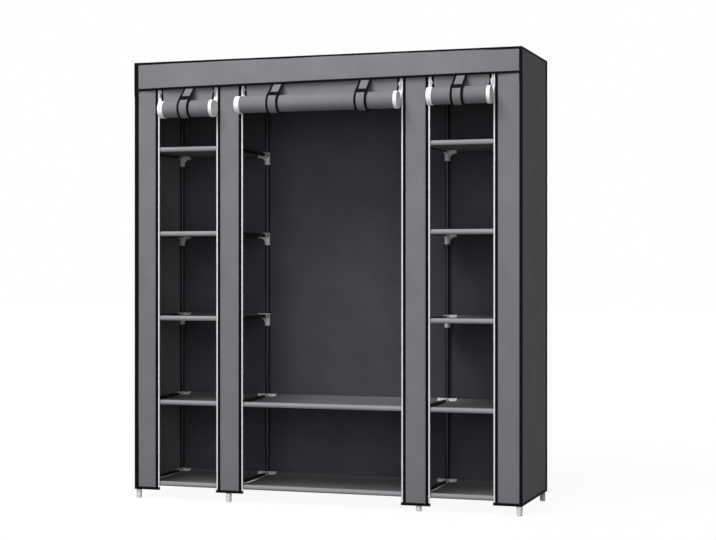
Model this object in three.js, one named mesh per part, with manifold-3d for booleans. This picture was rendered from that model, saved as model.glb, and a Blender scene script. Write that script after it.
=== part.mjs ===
// Portable fabric wardrobe: a knock-down steel tube frame with plastic sockets, twelve cloth
// shelves, a sewn cloth cover and three roll-up doors with zips. Millimetres, +Z up, front at -Y.
import * as THREE from 'three';
import { mergeVertices } from 'three/addons/utils/BufferGeometryUtils.js';
import Module from 'manifold-3d';

const wasm = await Module();
wasm.setup();

// Cover
const coverWidth = 1500;
const coverDepth = 420;
const hemHeight = 35;          // floor to the cover's hem
const cloth = 1.2;             // thickness of the cover's cloth
const seamGap = 0.3;           // between two panels at their seam
const fitGap = 0.4;            // between the cover and the frame's sockets
const valanceDropLeft = 107;   // the valance hangs a little lower at its left end
const valanceDropRight = 92;
const valanceStandoff = 2;     // front panels to the valance's back, at its seam
const outerPillarWidth = 97;
const innerPillarToCenter = 55.5;   // inner upright's axis to the pillar's edge
const innerPillarToSide = 39;

// Frame
const tubeRadius = 8;
const tubeWall = 0.8;
const boreGap = 0.3;           // around a tube in its socket
const socketWall = 2.1;
const socketRadius = tubeRadius + boreGap + socketWall;
const armLength = 38;          // socket's centre to its mouth
const seatDepth = 12;          // socket's centre to the bottom of its bore
const collarHeight = 12;       // a socket's rise above its level
const gussetThickness = 3;
const gussetInset = 4;         // from a socket's mouth to the gusset's tip
const footHeight = 58;         // floor to the lowest tubes
const footRadius = 9.8;
const footRingRadius = 10.4;
const footRingHeight = 4;
const footRingRise = 6;         // floor to the foot's ring
const firstLevelGap = 308;     // the lowest upright segments are a little shorter
const levelPitch = 318.5;
const levelCount = 6;
const innerFrameX = 369;       // middle of the wardrobe to an inner ladder
const sliderRoom = 1.9;        // behind the front panels, for the zip sliders
const rodSaddleLength = 40;    // hanging rod's socket, along the tube it sits on

// Shelves
const sleeveCloth = 1.2;
const shelfCloth = 2.4;
const shelfGap = 1;            // around the cloth, beside a ladder and its sockets

// Doors
const rollRadius = 32;
const rollEndRadius = 35;      // the zip tapes wind up thicker than the cloth
const rollCoreRadius = 6;
const rollWrap = 4.2;          // thickness of one turn
const rollTurns = 4;
const rollTapeWidth = 19;
const rollTapeStep = 2;
const rollTapeBite = 22;       // how far the wound tapes reach up beside the flap's foot
const rollStandoff = 6;        // front panels to the roll's ends
const leftRollStart = 22;      // from the door's left zip to the roll's end
const leftRollOverhang = 11;   // past the door's right zip
const centerRollOverhangLeft = 9.5;
const centerRollOverhangRight = 3.5;
const rightRollStart = 2;
const rightRollOverhang = 5;
const leftRollDrop = 184;      // cover's top to the roll's axis
const centerRollDrop = 175.5;
const rightRollDrop = 168;
const strapWidth = 46;
const strapCloth = 1.2;
const strapSlack = 0.7;        // between the strap and the door's cloth behind the roll
const leftStrapShare = 0.05;   // of the opening's width, from its middle
const centerStrapShareLeft = 0.27;
const centerStrapShareRight = 0.285;

// Zips
const tapeReach = 8;           // past the pillar's edge
const tapeThickness = 1;
const beadRadius = 1.1;
const sliderTravelStart = 115; // cover's top to the pulls' hinge
const sliderHeight = 13;
const sliderWideWidth = 12;
const sliderNarrowWidth = 8.5;
const sliderPlate = 1.2;
const sliderGap = 0.3;         // around the bead
const sliderPostWidth = 2;
const sliderPostHeight = 6;
const lugWidth = 2.4;
const lugBar = 0.9;
const lugLeg = 1.2;
const pullThickness = 1;
const pullWidth = 7;
const pullLength = 22;
const pullEyeWidth = 3.4;
const pullEyeLength = 5;
const pullHoleRadius = 1.6;
const pullHoleInset = 3.5;

// Facets
const tubeSides = 8;
const rollSteps = 10;          // facets in one turn of a roll
const strapSteps = 9;
const curveSteps = 5;
const gussetSteps = 2;
const overrun = 1;             // how far a cut runs past its solid

// Places that follow from the sizes
const halfWidth = coverWidth / 2;
const frontPlane = -coverDepth / 2;
const backPlane = coverDepth / 2;
const outerFrameX = halfWidth - cloth - fitGap - socketRadius;
const frontY = frontPlane + cloth + sliderRoom + socketRadius;
const backY = backPlane - cloth - fitGap - socketRadius;
const levelZ = (level) => footHeight
  + (level > 0 ? firstLevelGap : 0) + Math.max(level - 1, 0) * levelPitch;
const topLevel = levelCount - 1;
const coverTop = levelZ(topLevel) + socketRadius + fitGap + cloth;
const panelTop = coverTop - cloth - seamGap;
const boreRadius = tubeRadius + boreGap;
const sleeveRadius = tubeRadius + sleeveCloth;
const strapRadius = rollRadius + seamGap + cloth + strapSlack;   // inside of a strap round a roll
const frontReach = rollStandoff + rollEndRadius + strapRadius + strapCloth;

const finishes = {
  steel: { color: 0x17171a, roughness: 0.35, metalness: 0.6 },
  cover: { color: 0x6f6e74, roughness: 0.9, metalness: 0 },
  shelf: { color: 0x77767c, roughness: 0.9, metalness: 0 },
  tape: { color: 0xe6e6e8, roughness: 0.8, metalness: 0 },
  metal: { color: 0xc8c9cc, roughness: 0.3, metalness: 1 },
};

// Closed solids

function toSolid(geometry) {
  const bare = new THREE.BufferGeometry();
  bare.setAttribute('position', geometry.getAttribute('position').clone());
  if (geometry.index) bare.setIndex(geometry.index.clone());
  const merged = mergeVertices(bare);
  return new wasm.Manifold(new wasm.Mesh({
    numProp: 3,
    vertProperties: new Float32Array(merged.getAttribute('position').array),
    triVerts: new Uint32Array(merged.index.array),
  }));
}

function toGeometry(solid) {
  const mesh = solid.getMesh();
  const geometry = new THREE.BufferGeometry();
  geometry.setAttribute('position', new THREE.BufferAttribute(mesh.vertProperties, mesh.numProp));
  geometry.setIndex(new THREE.BufferAttribute(mesh.triVerts, 1));
  return geometry;
}

const union = (solids) => solids.reduce((sum, solid) => sum.add(solid));
const cutFrom = (solid, cuts) => cuts.reduce((rest, cut) => rest.subtract(cut), solid);

function circle(radius, sides = tubeSides) {
  return Array.from({ length: sides }, (_, i) => {
    const angle = (2 * Math.PI * i) / sides;
    return new THREE.Vector2(radius * Math.cos(angle), radius * Math.sin(angle));
  });
}

function extrude(shape, depth, curveSegments = curveSteps) {
  return new THREE.ExtrudeGeometry(shape, { depth, bevelEnabled: false, curveSegments });
}

// Turns a profile drawn in XY and extruded along Z so that it runs along another axis
const turns = {
  x: (geometry) => geometry.rotateY(Math.PI / 2),
  y: (geometry) => geometry.rotateX(-Math.PI / 2),
  z: (geometry) => geometry,
};

function bar(axis, radius, from, to, { x = 0, y = 0, z = 0 } = {}, hole = 0) {
  const shape = new THREE.Shape(circle(radius));
  if (hole) shape.holes.push(new THREE.Path(circle(hole)));
  const geometry = turns[axis](extrude(shape, to - from));
  const start = { x, y, z, [axis]: from };
  return geometry.translate(start.x, start.y, start.z);
}

const solidBar = (...args) => toSolid(bar(...args));

// A flat panel facing the front, drawn as X and Z, its front face at y
function frontPanel(points, y, thickness) {
  const shape = new THREE.Shape(points.map(([x, z]) => new THREE.Vector2(x, -z)));
  return extrude(shape, thickness).rotateX(-Math.PI / 2).translate(0, y, 0);
}

const frontRectangle = (x0, x1, z0, z1, y, thickness) =>
  frontPanel([[x0, z0], [x1, z0], [x1, z1], [x0, z1]], y, thickness);

// A profile drawn as Y and Z, extruded along X from x0 to x1
function sideProfile(points, x0, x1) {
  const shape = new THREE.Shape(points.map(([y, z]) => new THREE.Vector2(-z, y)));
  return extrude(shape, x1 - x0).rotateY(Math.PI / 2).translate(x0, 0, 0);
}

// A band between rings of points along X. Each ring runs along one face of the band and back
// along the other, so the points with the numbers i and count - 1 - i lie opposite each other
function loft(rings) {
  const count = rings[0].length;
  const index = [];
  for (let s = 0; s < rings.length - 1; s += 1) {
    for (let i = 0; i < count; i += 1) {
      const [a, b] = [s * count + i, s * count + ((i + 1) % count)];
      index.push(a, a + count, b, b, a + count, b + count);
    }
  }
  const last = (rings.length - 1) * count;
  for (let i = 0; i < count / 2 - 1; i += 1) {
    const [a, b, c, d] = [i, i + 1, count - 1 - i, count - 2 - i];
    index.push(a, b, c, b, d, c);
    index.push(last + a, last + c, last + b, last + b, last + c, last + d);
  }
  const geometry = new THREE.BufferGeometry();
  geometry.setAttribute('position', new THREE.Float32BufferAttribute(rings.flat(2), 3));
  geometry.setIndex(index);
  return geometry;
}

// Frame: four ladders, each two uprights, six cross tubes and twelve moulded sockets

function gusset(direction, y, z) {
  const tip = armLength - gussetInset;
  const web = new THREE.Shape();
  web.moveTo(0, 0);
  web.lineTo(tip, 0);
  web.lineTo(tip, -socketRadius);
  web.quadraticCurveTo(socketRadius, -socketRadius, socketRadius, -tip);
  web.lineTo(0, -tip);
  const geometry = extrude(web, gussetThickness, gussetSteps).translate(0, 0, -gussetThickness / 2);
  geometry.rotateX(Math.PI / 2);
  if (direction < 0) geometry.rotateZ(Math.PI);
  return toSolid(geometry.translate(0, y, z));
}

function arm(direction, y, z) {
  const ends = [0, direction * armLength].sort((a, b) => a - b);
  return solidBar('x', socketRadius, ...ends, { y, z });
}

function armBore(direction, y, z) {
  const ends = [direction * seatDepth, direction * (armLength + overrun)].sort((a, b) => a - b);
  return solidBar('x', boreRadius, ...ends, { y, z });
}

function foot(y) {
  const ring = solidBar('z', footRingRadius, footRingRise, footRingRise + footRingHeight, { y });
  return solidBar('z', footRadius, 0, footHeight, { y }).add(ring);
}

function socket(y, level, directions) {
  const z = levelZ(level);
  const top = level === topLevel ? z + socketRadius : z + collarHeight;
  const inward = y < 0 ? [y, y + armLength] : [y - armLength, y];
  return union([
    solidBar('z', socketRadius, z - armLength, top, { y }),
    solidBar('y', socketRadius, ...inward, { z }),
    ...directions.map((direction) => arm(direction, y, z)),
    ...directions.map((direction) => gusset(direction, y, z)),
  ]);
}

// sideOf(level) lists the directions, 1 or -1 along X, in which that level's sockets hold rails
function ladder(sideOf, rodDirection = 0) {
  const solids = [];
  const bores = [];
  for (const y of [frontY, backY]) {
    solids.push(solidBar('z', tubeRadius, footHeight, levelZ(topLevel), { y }), foot(y));
    for (let level = 0; level < levelCount; level += 1) {
      solids.push(socket(y, level, sideOf(level)));
      sideOf(level).forEach((direction) => bores.push(armBore(direction, y, levelZ(level))));
    }
  }
  for (let level = 0; level < levelCount; level += 1) {
    solids.push(solidBar('y', tubeRadius, frontY, backY, { z: levelZ(level) }));
  }
  if (rodDirection) {
    const z = levelZ(topLevel);
    const saddle = [rodY - rodSaddleLength / 2, rodY + rodSaddleLength / 2];
    solids.push(solidBar('y', socketRadius, ...saddle, { z }), arm(rodDirection, rodY, z));
    bores.push(armBore(rodDirection, rodY, z));
  }
  return toGeometry(cutFrom(union(solids), bores));
}

const rodY = (frontY + backY) / 2;
const centerLevels = [0, 1, topLevel];

// Rails and shelves run between two ladders at x0 and x1 and seat in their sockets

const railEnds = (x0, x1) => [x0 + seatDepth + boreGap, x1 - seatDepth - boreGap];

function rail(x0, x1, y, z) {
  return bar('x', tubeRadius, ...railEnds(x0, x1), { y, z }, tubeRadius - tubeWall);
}

function shelf(x0, x1, z) {
  const sleeve = [x0 + armLength + seamGap, x1 - armLength - seamGap];
  const edge = [x0 + socketRadius + shelfGap, x1 - socketRadius - shelfGap];
  const notch = [frontY + socketRadius + shelfGap, backY - socketRadius - shelfGap];
  const sheet = new THREE.Shape([
    [sleeve[0], frontY], [sleeve[1], frontY], [sleeve[1], notch[0]], [edge[1], notch[0]],
    [edge[1], notch[1]], [sleeve[1], notch[1]], [sleeve[1], backY], [sleeve[0], backY],
    [sleeve[0], notch[1]], [edge[0], notch[1]], [edge[0], notch[0]], [sleeve[0], notch[0]],
  ].map(([x, y]) => new THREE.Vector2(x, y)));
  const solids = [toSolid(extrude(sheet, shelfCloth).translate(0, 0, z - shelfCloth / 2))];
  for (const y of [frontY, backY]) {
    solids.push(solidBar('x', sleeveRadius, ...sleeve, { y, z }));
    solids.push(solidBar('x', tubeRadius, ...railEnds(x0, x1), { y, z }));
  }
  return toGeometry(union(solids));
}

// Cover: panels sewn edge to edge, a valance over the doors' top seam

const pillars = {
  left_outer: [-halfWidth, -halfWidth + outerPillarWidth],
  left_inner: [-innerFrameX - innerPillarToSide, -innerFrameX + innerPillarToCenter],
  right_inner: [innerFrameX - innerPillarToCenter, innerFrameX + innerPillarToSide],
  right_outer: [halfWidth - outerPillarWidth, halfWidth],
};

function coverTopPanel() {
  const front = frontPlane - valanceStandoff - cloth;
  const points = [[front, panelTop + seamGap], [backPlane, panelTop + seamGap]];
  const upper = points.map(([y]) => [y, coverTop]).reverse();
  return sideProfile([...points, ...upper], -halfWidth, halfWidth);
}

function coverSidePanel(direction) {
  const x = direction * halfWidth;
  const ends = [frontPlane + cloth + seamGap, backPlane];
  const points = [[ends[0], hemHeight], [ends[1], hemHeight], [ends[1], panelTop], [ends[0], panelTop]];
  return sideProfile(points, ...[x, x - direction * cloth].sort((a, b) => a - b));
}

function coverBackPanel() {
  const x = halfWidth - cloth - seamGap;
  return frontRectangle(-x, x, hemHeight, panelTop, backPlane - cloth, cloth);
}

const valanceHem = (x) => coverTop
  - THREE.MathUtils.mapLinear(x, -halfWidth, halfWidth, valanceDropLeft, valanceDropRight);

// It hangs straight down from its upper edge, a little in front of the doors' top seam
const valance = () => frontPanel([
  [-halfWidth, valanceHem(-halfWidth)], [halfWidth, valanceHem(halfWidth)],
  [halfWidth, panelTop], [-halfWidth, panelTop],
], frontPlane - valanceStandoff - cloth, cloth);

// Doors: rolled up to the front, tied by straps to the top seam

function doorBetween(leftPillar, rightPillar, [leftOverhang, rightOverhang], drop, straps) {
  const edges = [pillars[leftPillar][1], pillars[rightPillar][0]];
  const zips = [edges[0] + tapeReach, edges[1] - tapeReach];
  const roll = [zips[0] - leftOverhang, zips[1] + rightOverhang];
  return { edges, zips, roll, rollZ: coverTop - drop, hem: valanceHem(roll[0]), straps };
}

const doors = {
  left: doorBetween('left_outer', 'left_inner', [-leftRollStart, leftRollOverhang],
    leftRollDrop, [leftStrapShare]),
  center: doorBetween('left_inner', 'right_inner', [centerRollOverhangLeft, centerRollOverhangRight],
    centerRollDrop, [-centerStrapShareLeft, centerStrapShareRight]),
  right: doorBetween('right_inner', 'right_outer', [-rightRollStart, rightRollOverhang],
    rightRollDrop, [0]),
};
const rollY = frontPlane - rollStandoff - rollEndRadius;

// The cloth winds in from the back of the roll, under it and up its front
function rollProfile() {
  const steps = rollTurns * rollSteps;
  const outer = rollRadius - rollWrap / 2;
  const inner = rollCoreRadius + rollWrap / 2;
  const side = (offset) => Array.from({ length: steps + 1 }, (_, i) => {
    const radius = outer + (inner - outer) * (i / steps) + offset;
    const angle = -(2 * Math.PI * i) / rollSteps;
    return new THREE.Vector2(radius * Math.cos(angle), radius * Math.sin(angle));
  });
  return { outside: side(rollWrap / 2), inside: side(-rollWrap / 2) };
}

function roll([x0, x1], z) {
  const { outside, inside } = rollProfile();
  const ring = [...outside, ...inside.reverse()];
  const swell = rollEndRadius / rollRadius;
  const stations = [
    [x0, swell], [x0 + rollTapeWidth - rollTapeStep, swell], [x0 + rollTapeWidth, 1],
    [x1 - rollTapeWidth, 1], [x1 - rollTapeWidth + rollTapeStep, swell], [x1, swell],
  ];
  return loft(stations.map(([x, scale]) =>
    ring.map((point) => [x, rollY + point.x * scale, z + point.y * scale])));
}

function rollSelfGap() {
  const { outside, inside } = rollProfile();
  let gap = Infinity;
  for (let i = 0; i + rollSteps < inside.length; i += 1) {
    gap = Math.min(gap, inside[i].distanceTo(outside[i + rollSteps]));
  }
  return gap;
}

// Straight down behind the valance, then in a gentle curve to its foot
function hang(y, foot, hem) {
  const middle = (hem + foot[1]) / 2;
  const curve = new THREE.CubicBezierCurve(
    new THREE.Vector2(y, hem), new THREE.Vector2(y, middle),
    new THREE.Vector2(foot[0], middle), new THREE.Vector2(...foot));
  return [[y, panelTop], ...curve.getPoints(curveSteps).map((point) => [point.x, point.y])];
}

// The outline of a band of cloth that follows a line in Y and Z
function band(line, thickness) {
  const normalAt = (i) => {
    const [before, after] = [line[Math.max(i - 1, 0)], line[Math.min(i + 1, line.length - 1)]];
    return new THREE.Vector2(before[1] - after[1], after[0] - before[0]).normalize();
  };
  const side = (sign) => line.map(([y, z], i) => {
    const offset = normalAt(i).multiplyScalar((sign * thickness) / 2);
    return [y + offset.x, z + offset.y];
  });
  return [...side(1), ...side(-1).reverse()];
}

const counterclockwise = (points) => {
  const area = points.reduce((sum, [x, y], i) => {
    const [nextX, nextY] = points[(i + 1) % points.length];
    return sum + x * nextY - nextX * y;
  }, 0);
  return area < 0 ? [...points].reverse() : points;
};

const flapTopY = frontPlane + cloth / 2;
const flapFootY = rollY + rollRadius + seamGap + cloth / 2;

// The cloth between the roll and the top seam, clear of the sliders. It draws in behind the roll,
// where the wound tapes stand beside it
function flap({ roll: ends, zips, rollZ, hem }) {
  const line = hang(flapTopY, [flapFootY, rollZ], hem);
  const slider = sliderShift + sliderWideWidth / 2 + seamGap;
  const wide = [zips[0] + slider, zips[1] - slider];
  const narrow = [
    Math.max(ends[0] + rollTapeWidth + seamGap, wide[0]),
    Math.min(ends[1] - rollTapeWidth - seamGap, wide[1]),
  ];
  const [shoulder, waist] = [rollZ + rollEndRadius, rollZ + rollEndRadius - rollTapeBite];
  const [top, foot] = [panelTop + overrun, rollZ - overrun];
  const outline = frontPanel([
    [narrow[0], foot], [narrow[1], foot], [narrow[1], waist], [wide[1], shoulder],
    [wide[1], top], [wide[0], top], [wide[0], shoulder], [narrow[0], waist],
  ], rollY, rollEndRadius + rollStandoff + cloth + overrun);
  const sheet = sideProfile(counterclockwise(band(line, cloth)), ...wide);
  return toGeometry(toSolid(sheet).intersect(toSolid(outline)));
}

// Down behind the valance, forward over the roll, round it, and up again behind the door's cloth
function strap(x, { rollZ, hem }) {
  const radius = strapRadius + strapCloth / 2;
  const strapFrontY = frontPlane - seamGap - strapCloth / 2;
  const strapHemZ = hem - strapCloth;
  const strapBackY = frontPlane + cloth + seamGap + strapCloth / 2;
  const [bendY, bendZ] = [strapFrontY - rollY, strapHemZ - rollZ];
  const start = Math.atan2(bendZ, bendY) + Math.acos(radius / Math.hypot(bendY, bendZ));
  const arc = Array.from({ length: strapSteps + 1 }, (_, i) => {
    const angle = start + ((2 * Math.PI - start) * i) / strapSteps;
    return [rollY + radius * Math.cos(angle), rollZ + radius * Math.sin(angle)];
  });
  const back = hang(strapBackY, [rollY + radius, rollZ], hem).reverse().slice(1);
  const line = [[strapFrontY, panelTop], [strapFrontY, strapHemZ], ...arc, ...back];
  return sideProfile(counterclockwise(band(line, strapCloth)), x - strapWidth / 2, x + strapWidth / 2);
}

// Zips: a tape with its bead on each pillar's edge, a slider on it and a pull on the slider

const tapeY = frontPlane + cloth / 2;
const sliderPivotZ = coverTop - sliderTravelStart;

function zipTape(edge, direction) {
  const half = tapeThickness / 2;
  const reach = tapeReach - seamGap;
  const turn = Math.asin(half / beadRadius);
  const shape = new THREE.Shape();
  shape.moveTo(0, -half);
  shape.lineTo(reach - beadRadius * Math.cos(turn), -half);
  shape.absarc(reach, 0, beadRadius, Math.PI + turn, 3 * Math.PI - turn, false);
  shape.lineTo(0, half);
  const geometry = extrude(shape, panelTop - hemHeight);
  if (direction < 0) geometry.rotateZ(Math.PI);
  return geometry.translate(edge + direction * seamGap, tapeY, hemHeight);
}

const sliderInside = beadRadius + sliderGap;
const sliderFrontY = tapeY - sliderInside - sliderPlate;
const pullY = sliderFrontY - sliderGap - pullThickness / 2;
const sliderShift = beadRadius + sliderGap + sliderPostWidth / 2;

// The slider is wider at its foot, where the two tapes enter it, and its post parts them
function slider(x) {
  const [wide, narrow] = [sliderWideWidth / 2, sliderNarrowWidth / 2];
  const foot = sliderPivotZ - sliderHeight / 2;
  const head = sliderPivotZ + sliderHeight / 2;
  const outline = [
    [x - wide, foot], [x + wide, foot], [x + wide, sliderPivotZ],
    [x + narrow, head], [x - narrow, head], [x - wide, sliderPivotZ],
  ];
  const post = [
    [x, foot], [x + sliderPostWidth / 2, foot + sliderPostHeight / 2],
    [x, foot + sliderPostHeight], [x - sliderPostWidth / 2, foot + sliderPostHeight / 2],
  ];
  const room = pullThickness / Math.SQRT2 + sliderGap;   // for the pull's bar to turn in
  const windowHalf = pullThickness + sliderGap;
  const lugHalf = windowHalf + lugLeg;
  const lugY = pullY - room - lugBar;
  const lug = frontRectangle(x - lugWidth / 2, x + lugWidth / 2,
    sliderPivotZ - lugHalf, sliderPivotZ + lugHalf, lugY, sliderFrontY + sliderPlate / 2 - lugY);
  const window = frontRectangle(x - lugWidth, x + lugWidth,
    sliderPivotZ - windowHalf, sliderPivotZ + windowHalf, pullY - room, sliderFrontY - pullY + room);
  return toGeometry(union([
    toSolid(frontPanel(outline, sliderFrontY, sliderPlate)),
    toSolid(frontPanel(outline, tapeY + sliderInside, sliderPlate)),
    toSolid(frontPanel(post, sliderFrontY, 2 * (sliderInside + sliderPlate))),
    toSolid(lug).subtract(toSolid(window)),
  ]));
}

function pull(x) {
  const [half, top, tip] = [pullWidth / 2, pullThickness / 2, -pullLength];
  const shape = new THREE.Shape();
  shape.moveTo(-half, -top);
  shape.lineTo(half, -top);
  shape.lineTo(half, -tip - half);
  shape.absarc(0, -tip - half, half, 0, Math.PI, false);
  const eye = pullEyeWidth / 2;
  shape.holes.push(new THREE.Path([
    [-eye, top], [-eye, top + pullEyeLength], [eye, top + pullEyeLength], [eye, top],
  ].map(([a, b]) => new THREE.Vector2(a, b))));
  shape.holes.push(new THREE.Path(circle(pullHoleRadius).map((point) =>
    point.add(new THREE.Vector2(0, -tip - pullHoleInset)))));
  const geometry = extrude(shape, pullThickness).rotateX(-Math.PI / 2);
  return geometry.translate(x, pullY - pullThickness / 2, sliderPivotZ);
}

// Assembly

const wardrobe = new THREE.Group();
wardrobe.position.y = frontReach / 2;

function place(name, finish, geometry, x = 0) {
  const mesh = new THREE.Mesh(geometry, new THREE.MeshStandardMaterial(finishes[finish]));
  mesh.name = name;
  mesh.position.x = x;
  wardrobe.add(mesh);
}

// An inner ladder holds rails on its bay's side at every level, on the middle's at three of them
const innerSides = (bay) => (level) => (centerLevels.includes(level) ? [bay, -bay] : [bay]);
place('frame_left_outer', 'steel', ladder(() => [1]), -outerFrameX);
place('frame_left_inner', 'steel', ladder(innerSides(-1), 1), -innerFrameX);
place('frame_right_inner', 'steel', ladder(innerSides(1), -1), innerFrameX);
place('frame_right_outer', 'steel', ladder(() => [-1]), outerFrameX);

const bays = {
  left: { ends: [-outerFrameX, -innerFrameX], shelves: topLevel },
  center: { ends: [-innerFrameX, innerFrameX], shelves: centerLevels.length - 1 },
  right: { ends: [innerFrameX, outerFrameX], shelves: topLevel },
};
for (const [name, { ends, shelves }] of Object.entries(bays)) {
  for (let level = 0; level < shelves; level += 1) {
    place(`shelf_${name}_${level}`, 'shelf', shelf(...ends, levelZ(level)));
  }
  place(`rail_top_${name}_front`, 'steel', rail(...ends, frontY, levelZ(topLevel)));
  place(`rail_top_${name}_back`, 'steel', rail(...ends, backY, levelZ(topLevel)));
}
place('hanging_rod', 'steel', rail(...bays.center.ends, rodY, levelZ(topLevel)));

place('cover_top', 'cover', coverTopPanel());
place('cover_back', 'cover', coverBackPanel());
place('cover_left_side', 'cover', coverSidePanel(-1));
place('cover_right_side', 'cover', coverSidePanel(1));
for (const [name, [x0, x1]] of Object.entries(pillars)) {
  place(`cover_pillar_${name}`, 'cover', frontRectangle(x0, x1, hemHeight, panelTop, frontPlane, cloth));
}
place('valance', 'cover', valance());

for (const [name, door] of Object.entries(doors)) {
  place(`door_${name}_flap`, 'cover', flap(door));
  place(`door_${name}_roll`, 'cover', roll(door.roll, door.rollZ));
  const middle = (door.edges[0] + door.edges[1]) / 2;
  const width = door.zips[1] - door.zips[0];
  door.straps.forEach((share, i) => {
    const number = door.straps.length > 1 ? `_${i + 1}` : '';
    place(`strap_${name}${number}`, 'cover', strap(middle + share * width, door));
  });
  ['a', 'b'].forEach((side, i) => {
    const direction = i === 0 ? 1 : -1;
    const x = door.zips[i] + direction * sliderShift;
    place(`zip_${name}_${side}_tape`, 'tape', zipTape(door.edges[i], direction));
    place(`zip_${name}_${side}_slider`, 'metal', slider(x));
    place(`zip_${name}_${side}_pull`, 'metal', pull(x));
  });
}

console.log(`least gap between the turns of a door roll: ${rollSelfGap().toFixed(2)} mm`);

export default wardrobe;
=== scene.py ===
# %% [markdown]
# # A portable fabric wardrobe
#
# A knock-down frame of steel tube stands inside a sewn cover of grey non-woven cloth. Three
# doors are rolled up and tied above their openings. This lesson dresses the imported frame: it
# keeps the zips' metal, and makes the cloth, the tubes and the plastic sockets again as finer
# meshes, each where its solid stands.
#
# Everything is in metres, the front looks towards -Y and Z is up. The box of the frame is
# kept.

import math

import bmesh
import bpy
import numpy as np
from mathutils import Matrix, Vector


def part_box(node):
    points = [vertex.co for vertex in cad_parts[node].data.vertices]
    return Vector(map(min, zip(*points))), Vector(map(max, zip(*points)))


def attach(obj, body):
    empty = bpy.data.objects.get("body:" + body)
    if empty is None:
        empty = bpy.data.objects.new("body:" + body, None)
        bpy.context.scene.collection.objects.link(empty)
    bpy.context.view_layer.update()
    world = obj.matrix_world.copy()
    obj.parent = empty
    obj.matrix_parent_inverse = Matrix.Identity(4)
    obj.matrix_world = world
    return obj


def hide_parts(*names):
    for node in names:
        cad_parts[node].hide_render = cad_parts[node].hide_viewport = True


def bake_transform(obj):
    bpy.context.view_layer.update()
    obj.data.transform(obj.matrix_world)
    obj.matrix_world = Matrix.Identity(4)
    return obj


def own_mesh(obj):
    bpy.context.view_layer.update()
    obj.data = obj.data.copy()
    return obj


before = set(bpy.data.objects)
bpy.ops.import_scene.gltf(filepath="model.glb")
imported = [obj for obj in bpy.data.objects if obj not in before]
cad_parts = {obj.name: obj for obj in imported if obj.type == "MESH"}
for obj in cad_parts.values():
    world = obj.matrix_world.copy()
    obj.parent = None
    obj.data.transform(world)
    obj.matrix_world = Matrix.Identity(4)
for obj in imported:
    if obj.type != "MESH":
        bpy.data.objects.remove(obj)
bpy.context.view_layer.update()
mm = 0.001

# %% [markdown]
# ## Camera
#
# The photograph was taken from the right of the middle, with level lines kept level. Such a
# view needs a camera that isn't tilted, only turned about the upright axis. A long lens keeps
# the lines nearly parallel, as in the picture.

# %% Camera
def linked(name, data):
    """A new object that shows in the scene."""
    made = bpy.data.objects.new(name, data)
    bpy.context.collection.objects.link(made)
    return made


camera_data = bpy.data.cameras.new("photo_camera")
camera_data.sensor_width = 36
camera_data.lens = 81.38
camera = linked("photo_camera", camera_data)
camera.location = (1.9834, -5.7495, 0.8663)
camera.rotation_euler = (math.radians(90), 0, math.radians(18.258))
bpy.context.scene.camera = camera
bpy.context.scene.view_settings.view_transform = "Standard"

# %% [markdown]
# ## Shader sums
#
# A material is a sum of patterns, and a sum is easier to read as one line than as a web of
# nodes. This small class wraps the output of a node. Plus, minus, times and divide on it add
# Math nodes, and node() adds any other kind. It serves Geometry Nodes as well.

# %% A wrapper for node outputs
class Wire:
    """The output of a node, ready for sums."""

    def __init__(self, tree, socket=None):
        self.tree, self.socket = tree, socket

    def node(self, kind, settings=None, inputs=None, output=0):
        made = self.tree.nodes.new(kind)
        for name, value in (settings or {}).items():
            if name == "stops":
                ramp = made.color_ramp
                while len(ramp.elements) < len(value):
                    ramp.elements.new(1)
                for stop, (place, shade) in zip(ramp.elements, value):
                    stop.position, stop.color = place, (*(shade,) * 3, 1)
            else:
                setattr(made, name, value)
        for name, value in (inputs or {}).items():
            if isinstance(value, Wire):
                self.tree.links.new(value.socket, made.inputs[name])
            else:
                made.inputs[name].default_value = value
        return Wire(self.tree, made.outputs[output])

    def maths(self, operation, *others):
        return self.node("ShaderNodeMath", {"operation": operation},
                         dict(enumerate((self, *others))))

    def xyz(self, *parts):
        """A vector of up to three parts, 0 for those left out."""
        return self.node("ShaderNodeCombineXYZ", inputs=dict(enumerate(parts)))

    def __add__(self, other):
        return self.maths("ADD", other)

    def __sub__(self, other):
        return self.maths("SUBTRACT", other)

    def __rsub__(self, other):
        return self.node("ShaderNodeMath", {"operation": "SUBTRACT"}, {0: other, 1: self})

    def __mul__(self, other):
        return self.maths("MULTIPLY", other)

    def __truediv__(self, other):
        return self.maths("DIVIDE", other)

    __radd__, __rmul__ = __add__, __mul__

    def between(self, low, high):
        """0 below low, 1 above high and smooth between."""
        return self.node("ShaderNodeMapRange", {"interpolation_type": "SMOOTHSTEP"},
                         {"Value": self, "From Min": low, "From Max": high})

    def shade(self, dark, light):
        """A colour from dark to light, as this goes from 0 to 1."""
        colours = [value if isinstance(value, Wire) else (*value, 1) for value in (dark, light)]
        return self.node("ShaderNodeMix", {"data_type": "RGBA"},
                         {0: self, 6: colours[0], 7: colours[1]}, output=2)


# %% [markdown]
# ## Light and floor
#
# Plain soft studio light: a wide key high in front brightens the tops of the rolls and sleeves,
# a wider soft box in front reaches under the valance and into the bays, a weak lamp behind
# shows the back and the left side in other views, and an even grey world fills the shadows.
# Lamps so wide leave no hard shadow of the pillars on the back panel. The page behind the
# wardrobe is white, so camera, glossy and transmission rays see white, while the light on the
# object stays at a plain level. The floor is white the same way. Near the wardrobe it keeps a
# share of its real shading, so the shadow stays, and further off it turns into the page.

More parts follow.
